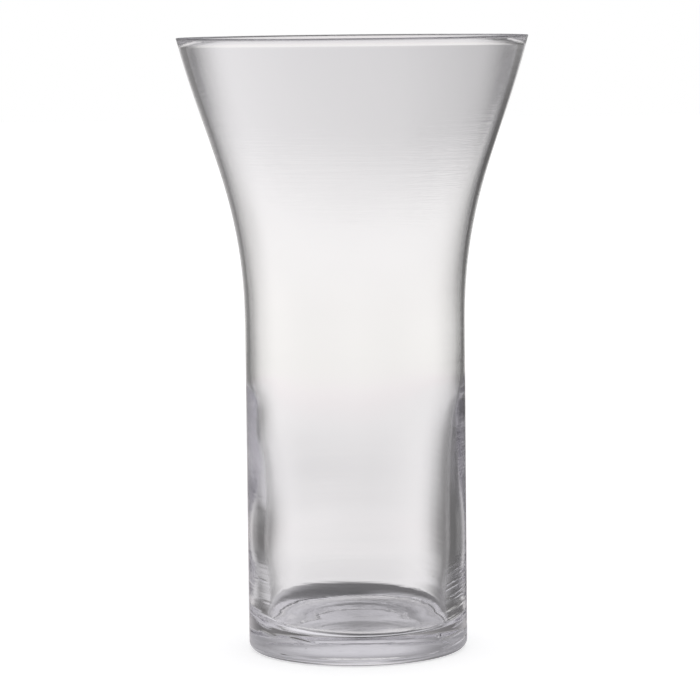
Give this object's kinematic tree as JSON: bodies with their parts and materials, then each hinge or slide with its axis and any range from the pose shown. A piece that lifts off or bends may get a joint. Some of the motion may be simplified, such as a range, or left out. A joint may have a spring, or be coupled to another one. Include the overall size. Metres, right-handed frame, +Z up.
{
  "type": "trumpet vase",
  "caption": "Clear glass trumpet vase: a straight, thick-footed round body that opens into a flared mouth, for cut flowers in water.",
  "frame": {"origin": "centre of the flat ring that the vase stands on", "axes": "+Z up along the vase's axis, out of the mouth; the vase is round, so +X and +Y are free"},
  "size_m": [0.1426, 0.1426, 0.25],
  "materials": {
    "clear_glass": "clear blown glass with a fire-smooth surface, faint ripples, a softened cut rim and a ground standing ring"
  },
  "bodies": {
    "root": {"vase_body": "clear_glass"}
  },
  "joints": []
}
